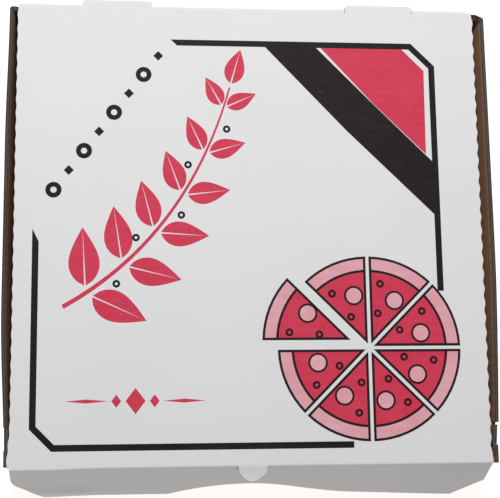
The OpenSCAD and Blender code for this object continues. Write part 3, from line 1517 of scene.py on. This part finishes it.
    def rear_lock_spot(self, side: int, measure: float, x: float) -> Spot:
        """Place on a rear lock tab.

        Args:
            side: The side.
            measure: Measure of the lock tab.
            x: Distance from the box's middle.

        Returns:
            The place.
        """
        reach = self.layout.rear_y + self.lock_reach - self.side_rear_y
        bend = self.lock_bend(measure, self.rear_lock_top, reach)
        points = [Vector((side * x, self.side_rear_y + out, up)) for out, up in bend]
        return Spot(points[0], points[1], measure * self.lock_bend_drop, x)

    def front_flap_spot(self, side: int, y: float, share: float) -> Spot:
        """Place on a front corner flap, which bends out of the front wall.

        Args:
            side: The side.
            y: Depth; before the bend's end it runs round the corner.
            share: Share of the flap's height.

        Returns:
            The place.
        """
        face, thick, bend = self.front_flap_x, self.board.thickness, self.board.bend
        start = self.front_wall_y + bend
        in_tab = self.front_lock[0] < y < self.front_lock[1]
        top = self.front_lock_top - (self.lock_bend_drop if in_tab else 0.0)
        z = self.flap_low + (top - self.flap_low) * share
        if y < start:
            angle = QUARTER * (y - start + bend) / bend
            outer = (face - bend + bend * math.sin(angle), start - bend * math.cos(angle))
            inner_y = self.front_wall_y + thick
        else:
            eased = smooth((y - self.front_flap_end) / self.front_taper_run + 1.0)
            taper = self.flap_taper * (1.0 - share) * eased
            outer = (face, y - taper)
            inner_y = max(y, self.front_wall_y + thick) - taper
        return Spot(Vector((side * outer[0], outer[1], z)), Vector((side * (face - thick), inner_y, z)), y, z)

    def front_lock_spot(self, side: int, measure: float, y: float) -> Spot:
        """Place on a front lock tab.

        Args:
            side: The side.
            measure: Measure of the lock tab.
            y: Depth.

        Returns:
            The place.
        """
        face = self.front_flap_x
        reach = self.in_x + self.shape(side).at(y) * self.rise(self.front_lock_top) - face
        bend = self.lock_bend(measure, self.front_lock_top, reach)
        points = [Vector((side * (face + out), y, up)) for out, up in bend]
        return Spot(points[0], points[1], y, measure * self.lock_bend_drop)

    def lock_end_spot(self, side: int, share: float, y: float) -> Spot:
        """Place on a front lock tab's end, which springs up in its notch.

        Args:
            side: The side.
            share: Share of the end's height.
            y: Depth.

        Returns:
            The place.
        """
        shape = self.shape(side)
        low = self.front_lock_top - self.board.thickness
        top = self.wall_top - self.front_dip.height - self.lock_low
        z = low + (top - low) * share
        face = self.foot_x + shape.at(y) * self.rise(z) - shape.lock_inset
        press = self.board.pressed(top - z)
        inner = face - self.board.thickness - self.lock_fray * press
        return Spot(Vector((side * face, y, z)), Vector((side * inner, y, z)), z, y, press)

    def build(self, papers: Papers) -> Piece:
        """Build the tray from its panels and let it stand for the tray's solid.

        Args:
            papers: Material of each paper.

        Returns:
            The piece.
        """
        shell = Shell(self.board)
        bend = self.board.bend
        half = self.foot_x - bend
        front, rear = self.front_wall_y + bend, self.layout.rear_y - bend
        columns, rows = stations(-half, half, self.floor_step), stations(front, rear, self.floor_step)
        shell.panel(self.floor_spot, columns, rows, [-half, half], self.board.flute_stations(front, rear))
        for side in SIDES:
            self.build_side_wall(shell, side)
            self.build_rear_flap(shell, side)
            self.build_front_flap(shell, side)
        corner = self.front_flap_x - bend
        columns = stations(-corner, corner, self.front_step)
        shell.panel(self.front_spot, columns, self.climb, [-corner, corner], self.fine_climb)
        ends = both(cut_at(self.slot_x - self.slot_half, self.slot_x + self.slot_half) + [self.corner_x])
        ends += [side * (self.corner_x + self.shape(side).corner_cut) for side in SIDES]
        columns = stations(-self.foot_x, self.foot_x, self.rear_step, ends)
        rows = sorted([*self.climb, *self.fold_measures])
        shell.panel(self.rear_spot, columns, rows, columns, self.fine_climb)
        piece = shell.piece("tray_board", papers)
        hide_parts("tray")
        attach(piece, "tray")
        return piece

    def build_side_wall(self, shell: Shell, side: int) -> None:
        """Lay one side wall.

        Args:
            shell: The tray's mesh.
            side: The side.
        """
        start, stop = self.front_wall_y, self.side_rear_y - self.board.bend
        extra = cut_at(*self.notch) + [start + self.overrun_y]
        shell.panel(partial(self.side_spot, side),
                    [*self.climb[:-1], *self.top_measures], stations(start, stop, self.side_step, extra),
                    [*self.climb[:-1:2], *self.top_measures], self.board.flute_stations(start, stop, extra))

    def build_rear_flap(self, shell: Shell, side: int) -> None:
        """Lay one side's rear corner flap with its lock tab.

        Args:
            shell: The tray's mesh.
            side: The side.
        """
        tip, root, shares = self.rear_flap_tip, self.foot_x, self.flap_shares
        low, high = self.slot_x - self.rear_lock_half, self.slot_x + self.rear_lock_half
        relief = stations(self.in_x - self.relief_width - self.relief_rise, self.in_x, self.relief_step)
        extra = cut_at(low, high) + relief + stations(root - self.board.bend, root, self.bend_step)
        columns = stations(tip, root, self.rear_flap_step, extra)
        shell.panel(partial(self.rear_flap_spot, side), shares, columns,
                    shares, self.board.flute_stations(tip, root, extra))
        shell.panel(partial(self.rear_lock_spot, side), self.lock_measures, [low, high],
                    self.lock_measures, self.board.flute_stations(low, high))

    def build_front_flap(self, shell: Shell, side: int) -> None:
        """Lay one side's front corner flap with its lock tab and the tab's end.

        Args:
            shell: The tray's mesh.
            side: The side.
        """
        start = self.front_wall_y
        extra = cut_at(*self.front_lock) + stations(start, start + self.board.bend, self.bend_step)
        columns = stations(start, self.front_flap_end, self.front_flap_step, extra)
        flutes = stations(0.0, 1.0, self.board.flute_step / self.front_lock_top)
        shell.panel(partial(self.front_flap_spot, side), columns, self.flap_shares, columns, flutes)
        shell.panel(partial(self.front_lock_spot, side), self.lock_measures, self.front_lock,
                    self.lock_measures, self.front_lock)
        ends = [self.notch[0] + self.lock_slack, self.notch[1] - self.shape(side).lock_gap]
        shell.panel(partial(self.lock_end_spot, side), self.lock_end_shares, ends,
                    self.lock_end_shares, self.board.flute_stations(*ends))


@dataclass
class PrintPlates:
    """Thin plates of one ink on the lid's face."""

    board: Board
    face_z: float
    layer_step: float = 0.03
    thickness: float = 0.02
    disc_corners: int = 40
    ring_corners: int = 32
    mesh: bmesh.types.BMesh = field(default_factory=bmesh.new)

    def level(self, layer: Layer) -> float:
        """Height of a print layer."""
        return self.face_z + self.layer_step * (layer.value + 1)

    def corners(self, points: Sequence[Point], layer: Layer) -> list[bmesh.types.BMVert]:
        """Set points on a layer."""
        return [self.mesh.verts.new((x, y, self.level(layer))) for x, y in points]

    def patch(self, points: Sequence[Point], layer: Layer = Layer.GROUND) -> None:
        """Lay a flat patch inside an outline."""
        self.mesh.faces.new(self.corners(points, layer))

    def diamond(self, centre: Point, wide: float, high: float) -> None:
        """Lay a diamond by its half width and half height."""
        x, y = centre
        self.patch([(x - wide, y), (x, y - high), (x + wide, y), (x, y + high)])

    def disc(self, centre: Point, radius: float, layer: Layer = Layer.GROUND) -> None:
        """Lay a round patch."""
        place = Matrix.Translation((*centre, self.level(layer)))
        bmesh.ops.create_circle(
            self.mesh, cap_ends=True, segments=self.disc_corners, radius=radius, matrix=place)

    def ring(self, centre: Point, radii: Point, layer: Layer = Layer.GROUND) -> None:
        """Lay a round patch with a hole.

        Args:
            centre: Its middle.
            radii: Radius of its rim and of its hole.
            layer: The print layer.
        """
        place = Matrix.Translation((*centre, self.level(layer)))
        rims = []
        for radius in radii:
            circle = bmesh.ops.create_circle(
                self.mesh, cap_ends=False, segments=self.ring_corners, radius=radius, matrix=place)
            rims += dict.fromkeys(edge for vert in circle["verts"] for edge in vert.link_edges)
        bmesh.ops.bridge_loops(self.mesh, edges=rims)

    def strip(self, left: Sequence[Point], right: Sequence[Point], layer: Layer = Layer.GROUND) -> None:
        """Lay a band between two lines.

        Args:
            left: Points of the first line.
            right: As many points of the second line.
            layer: The print layer.
        """
        first, second = self.corners(left, layer), self.corners(right, layer)
        for i in range(len(left) - 1):
            self.mesh.faces.new((first[i], first[i + 1], second[i + 1], second[i]))

    def piece(self, name: str, material: Material) -> Piece:
        """Thicken the patches into closed plates and make them a piece that rides on the lid.

        Args:
            name: The piece's name.
            material: Its ink.

        Returns:
            The piece.
        """
        shape = self.mesh
        bmesh.ops.recalc_face_normals(shape, faces=shape.faces[:])
        grown = bmesh.ops.extrude_face_region(shape, geom=shape.faces[:])["geom"]
        raised = [item for item in grown if isinstance(item, bmesh.types.BMVert)]
        bmesh.ops.translate(shape, verts=raised, vec=(0.0, 0.0, self.thickness))
        bmesh.ops.recalc_face_normals(shape, faces=shape.faces[:])
        uv = shape.loops.layers.uv.new(BOARD_UV)
        for face in shape.faces:
            for loop in face.loops:
                loop[uv].uv = loop.vert.co.xy / self.board.pitch
        bmesh.ops.scale(shape, verts=shape.verts[:], vec=(MM, MM, MM))
        made = make_object(name, shape, [material])
        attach(made, "lid")
        return made


Plates = dict[Ink, PrintPlates]


@dataclass(frozen=True)
class FramePrint:
    """Open frame line with a diagonal band over one corner and a field in the corner that it cuts off."""

    left: float = -146.5
    right: float = 130.3
    top: float = 134.0
    bottom: float = -146.0
    line: float = 4.3
    rear_chamfer: float = 16.3
    front_chamfer: float = 14.4
    top_start: float = -54.4
    right_end: float = -41.56
    left_start: float = 0.4
    bottom_end: float = 65.6
    band: Sequence[Point] = (
        (10.7, 130.1), (66.5, 70.4), (126.4, 11.2), (126.4, 48.7), (85.8, 89.6), (46.5, 130.1))
    corner: Sequence[Point] = ((50.0, 129.7), (85.8, 90.0), (121.9, 54.0), (122.6, 114.1), (107.4, 129.7))

    def lay(self, plates: Plates) -> None:
        """Lay the frame line's rear and front runs, the band and the corner field.

        Args:
            plates: Plates of each ink.
        """
        black, line = plates[Ink.BLACK], self.line
        mitre = math.tan(math.pi / 8.0)
        less = line * mitre - line
        right, top = self.right - line, self.top - line
        outer = chamfered((self.top_start, self.top), (self.right, self.top),
                          (self.right, self.right_end), self.rear_chamfer)
        inner = chamfered((self.top_start + line, top), (right, top),
                          (right, self.right_end), self.rear_chamfer + less)
        black.strip(outer, inner)
        left, bottom = self.left + line, self.bottom + line
        outer = chamfered((self.left, self.left_start), (self.left, self.bottom),
                          (self.bottom_end, self.bottom), self.front_chamfer)
        inner = chamfered((left, self.left_start - 2.0 * line), (left, bottom),
                          (self.bottom_end, bottom), self.front_chamfer + less)
        black.strip(outer, inner)
        black.patch(self.band, Layer.BAND)
        plates[Ink.RED].patch(self.corner)


@dataclass(frozen=True)
class SlicedRound:
    """Round cut in slices, one of them drawn out, with toppings at an angle and a radius on each slice."""

    centre: Point = (78.0, -80.0)
    radius: float = 62.0
    slices: int = 8
    drawn_slice: int = 3
    drawn_out: float = 11.0
    arc_steps: int = 8
    gap: float = 1.1
    line: float = 1.7
    crust: float = 10.0
    salami: Point = (-0.12, 36.5)
    salami_r: float = 6.6
    salami_face_r: float = 5.2
    olives: Sequence[Point] = ((0.13, 24.0), (0.2, 44.0))
    olive_radii: Point = (2.7, 1.1)

    def outline(self, angle: float, radii: Point, inset: float, slide: float) -> list[Point]:
        """Outline of one slice of the round, or of a part of it.

        Args:
            angle: Direction of the slice's middle.
            radii: Radius where the part starts, 0 for the tip, and where it ends.
            inset: Distance kept from the slice's cuts.
            slide: Distance that the slice is drawn out.

        Returns:
            The outline's points.
        """
        half = math.pi / self.slices

        def arc(radius: float, sign: int) -> list[Point]:
            """Find the points of one round edge.

            Args:
                radius: The edge's radius.
                sign: 1 to run anticlockwise, -1 to run clockwise.

            Returns:
                The points.
            """
            reach = sign * (half - math.asin(inset / radius))
            turns = [reach * turn for turn in stations(-1.0, 1.0, 2.0 / self.arc_steps)]
            return [(radius * math.cos(turn) + slide, radius * math.sin(turn)) for turn in turns]

        start = arc(radii[0], -1) if radii[0] > 0.0 else [(inset / math.sin(half) + slide, 0.0)]
        return placed(start + arc(radii[1], 1), self.centre, angle)

    def spot(self, angle: float, radius: float) -> Point:
        """Place on the round by angle and radius."""
        return placed([(radius, 0.0)], self.centre, angle)[0]

    def lay(self, plates: Plates) -> None:
        """Lay the slices with their crust, filling and toppings.

        Args:
            plates: Plates of each ink.
        """
        black, red, pink = plates[Ink.BLACK], plates[Ink.RED], plates[Ink.PINK]
        crust, inset = self.radius - self.crust, self.gap + self.line
        rim = (crust + self.line / 2.0, self.radius - self.line)
        filling = (0.0, crust - self.line / 2.0)
        for i in range(self.slices):
            angle = math.tau * (i + 0.5) / self.slices
            slide = self.drawn_out if i == self.drawn_slice else 0.0
            black.patch(self.outline(angle, (0.0, self.radius), self.gap, slide))
            pink.patch(self.outline(angle, rim, inset, slide), Layer.FILL)
            red.patch(self.outline(angle, filling, inset, slide), Layer.FILL)
            salami = self.spot(angle + self.salami[0], self.salami[1] + slide)
            black.disc(salami, self.salami_r, Layer.TOPPING)
            pink.disc(salami, self.salami_face_r, Layer.TOPPING_FACE)
            for turn, radius in self.olives:
                black.ring(self.spot(angle + turn, radius + slide), self.olive_radii, Layer.TOPPING)


@dataclass(frozen=True)
class LeafySprig:
    """Sprig: a tapered stem with pairs of leaves that grow smaller, a leaf at its end and berries.

    The stem is drawn in steps. In each round of them, leaves grow at one step and a berry at another.
    """

    root: Point = (-126.0, -52.0)
    bow: Point = (-44.0, -6.0)
    tip: Point = (-14.0, 100.0)
    steps: int = 30
    round_steps: int = 5
    leaf_step: int = 3
    berry_step: int = 1
    stem_half: float = 1.5
    stem_taper: float = 0.9
    leaf_size: Point = (44.0, 10.5)
    leaf_shrink: float = 0.5
    leaf_turn: float = 1.05
    turn_shrink: float = 0.25
    leaf_seat: float = 1.6
    end_leaf: Point = (27.0, 6.5)
    end_seat: float = 1.5
    berry_out: float = 7.0
    berry_radii: Point = (2.6, 1.0)
    leaf_steps: int = 14
    rib_start: float = 0.06
    rib_half: float = 0.55
    rim_power: float = 0.72

    def leaf(self, red: PrintPlates, seat: Vector, angle: float, size: Point) -> None:
        """Lay one leaf as two halves beside its bare midrib.

        Args:
            red: Plates of the leaf's ink.
            seat: Where the leaf meets the stem.
            angle: Direction of the midrib.
            size: Length and half width of the leaf.
        """
        length, width = size
        shares = stations(0.0, 1.0, 1.0 / self.leaf_steps)
        start = self.rib_start
        rib = [(length * (start + (1.0 - start) * share), self.rib_half * (1.0 - share)) for share in shares]
        widths = [width * math.sin(math.pi * share ** self.rim_power) for share in shares]
        rim = [(x, y + out) for out, (x, y) in zip(widths, rib)]
        for side in SIDES:
            red.patch(placed([(x, side * y) for x, y in rib + rim[-2:0:-1]], seat, angle))

    def lay(self, plates: Plates) -> None:
        """Lay the stem, the leaves and the berries.

        Args:
            plates: Plates of each ink.
        """
        red, black = plates[Ink.RED], plates[Ink.BLACK]
        root, bow, tip = (Vector(point) for point in (self.root, self.bow, self.tip))
        rails: tuple[list[Point], list[Point]] = ([], [])
        for i in range(self.steps + 1):
            share = i / self.steps
            ahead = 2.0 * (1.0 - share) * (bow - root) + 2.0 * share * (tip - bow)
            here = (1.0 - share) ** 2 * root + 2.0 * share * (1.0 - share) * bow + share ** 2 * tip
            across = Vector((-ahead.y, ahead.x)).normalized()
            out = across * (self.stem_half - self.stem_taper * share)
            for rail, side in zip(rails, (1, -1)):
                rail.append(tuple(here + side * out))
            heading = math.atan2(ahead.y, ahead.x)
            if i % self.round_steps == self.leaf_step:
                shrink = 1.0 - self.leaf_shrink * share
                size = (self.leaf_size[0] * shrink, self.leaf_size[1] * shrink)
                for side in SIDES:
                    turn = side * (self.leaf_turn - self.turn_shrink * share)
                    self.leaf(red, here + out * side * self.leaf_seat, heading + turn, size)
            if i % self.round_steps == self.berry_step and i > self.round_steps:
                berry = here + across * (self.berry_out if i % 2 else -self.berry_out)
                black.ring(tuple(berry), self.berry_radii)
        self.leaf(red, here + ahead.normalized() * self.end_seat, heading, self.end_leaf)
        red.strip(*rails)


@dataclass(frozen=True)
class Ornaments:
    """Row of rings and diamonds beside the frame's gap, and a divider of diamonds near the front.

    The divider's parts are given by their offset from its middle, half width and half height.
    """

    row_start: Point = (-133.0, 27.0)
    row_end: Point = (-63.0, 122.0)
    row_count: int = 8
    ring_radii: Point = (5.4, 2.1)
    diamond: float = 3.4
    divider_at: Point = (-78.0, -114.0)
    divider: Sequence[Triple] = (
        (0.0, 6.5, 8.5), (-12.5, 3.2, 4.2), (12.5, 3.2, 4.2), (-32.0, 14.0, 1.3), (32.0, 14.0, 1.3))

    def lay(self, plates: Plates) -> None:
        """Lay the row and the divider.

        Args:
            plates: Plates of each ink.
        """
        black = plates[Ink.BLACK]
        for i in range(self.row_count):
            centre = tuple(Vector(self.row_start).lerp(Vector(self.row_end), i / (self.row_count - 1)))
            if i % 2:
                black.diamond(centre, self.diamond, self.diamond)
            else:
                black.ring(centre, self.ring_radii)
        x, y = self.divider_at
        for offset, wide, high in self.divider:
            plates[Ink.RED].diamond((x + offset, y), wide, high)


@dataclass(frozen=True)
class LidPrint:
    """Print on the lid, one piece for each ink."""

    layout: Layout
    board: Board
    frame_print: FramePrint = FramePrint()
    sliced_round: SlicedRound = SlicedRound()
    leafy_sprig: LeafySprig = LeafySprig()
    ornaments: Ornaments = Ornaments()

    def build(self, inks: dict[Ink, Material]) -> list[Piece]:
        """Build the print.

        Args:
            inks: Material of each ink.

        Returns:
            The pieces.
        """
        plates = {ink: PrintPlates(self.board, self.layout.fold_z) for ink in Ink}
        for motif in (self.frame_print, self.sliced_round, self.leafy_sprig, self.ornaments):
            motif.lay(plates)
        return [plates[ink].piece(f"print_{ink.value}", inks[ink]) for ink in Ink]


@dataclass(frozen=True)
class Studio:
    """Pale floor that glows like a light table, faint sky, one soft light and the camera."""

    camera_at: Triple = (-77.2, -156.7, 836.5)
    camera_turn_deg: Triple = (10.32, -5.31, -0.84)
    focal_px: float = 1200.0
    image_px: float = 500.0
    sensor: float = 36.0
    clip_start_m: float = 0.01
    floor_half_m: float = 12.0
    floor_drop_m: float = 0.0002
    floor_haze: Noise = Noise(3.0)
    floor_dark: Triple = (0.30, 0.30, 0.30)
    floor_light: Triple = (0.32, 0.32, 0.32)
    floor_roughness: float = 0.9
    floor_glow: Triple = (1.0, 0.972, 0.955)
    floor_glow_strength: float = 0.92
    sky: Triple = (1.0, 0.975, 0.955)
    sky_strength: float = 0.20
    light_at_m: Triple = (-0.09, 0.9, 1.55)
    light_size_m: float = 0.7
    light_watts: float = 25.3

    def build_camera(self) -> None:
        """Set the camera at the photograph's viewing angle."""
        data = bpy.data.cameras.new("camera")
        data.sensor_fit = "HORIZONTAL"
        data.sensor_width = self.sensor
        data.lens = self.focal_px * self.sensor / self.image_px
        data.clip_start = self.clip_start_m
        camera = link("camera", data)
        camera.location = Vector(self.camera_at) * MM
        camera.rotation_euler = Euler([math.radians(angle) for angle in self.camera_turn_deg])
        bpy.context.scene.camera = camera

    def build_floor(self) -> None:
        """Lay the floor just under the box."""
        shape = bmesh.new()
        bmesh.ops.create_grid(shape, x_segments=1, y_segments=1, size=self.floor_half_m)
        bmesh.ops.translate(shape, verts=shape.verts[:], vec=(0.0, 0.0, -self.floor_drop_m))
        graph = Graph("floor_white")
        haze = graph.noise(graph.place(), self.floor_haze)
        graph.close({
            "Base Color": graph.mix(haze, self.floor_dark, self.floor_light),
            "Roughness": self.floor_roughness, "Specular IOR Level": 0.0,
            "Emission Color": (*self.floor_glow, 1.0), "Emission Strength": self.floor_glow_strength})
        make_object("floor", shape, [graph.material])

    def build_sky(self) -> None:
        """Light the scene faintly from all sides."""
        world = bpy.data.worlds.new("studio")
        world.use_nodes = True
        background = world.node_tree.nodes["Background"]
        background.inputs["Color"].default_value = (*self.sky, 1.0)
        background.inputs["Strength"].default_value = self.sky_strength
        bpy.context.scene.world = world

    def build_light(self) -> None:
        """Hang the square soft light that looks at the box."""
        data = bpy.data.lights.new("key", "AREA")
        data.size = self.light_size_m
        data.energy = self.light_watts
        light = link("key", data)
        light.location = self.light_at_m
        light.rotation_euler = (-Vector(self.light_at_m)).to_track_quat("-Z", "Y").to_euler()

    def build(self) -> None:
        """Build the studio."""
        bpy.context.scene.view_settings.view_transform = "Standard"
        self.build_sky()
        self.build_camera()
        self.build_floor()
        self.build_light()


def main() -> None:
    """Build the box around its frame."""
    logging.basicConfig(level=logging.INFO)
    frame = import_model()
    layout = Layout.from_frame(frame)
    board = Board()
    papers = {paper: finish.material() for paper, finish in PAPERS.items()}
    inks = {ink: finish.material() for ink, finish in INKS.items()}
    Studio().build()
    lid = Lid(layout, board)
    flap = FrontFlap(layout, board, lid.thumb_x, lid.thumb_r)
    pieces = [Tray(layout, board).build(papers), lid.build(papers), flap.build(papers)]
    pieces += lid.build_rear_fold(papers)
    pieces += flap.build_fold(papers)
    pieces += LidPrint(layout, board).build(inks)
    for piece in pieces:
        LOG.info("%s: %d faces", piece.name, len(piece.data.polygons))


if __name__ == "__main__":
    main()
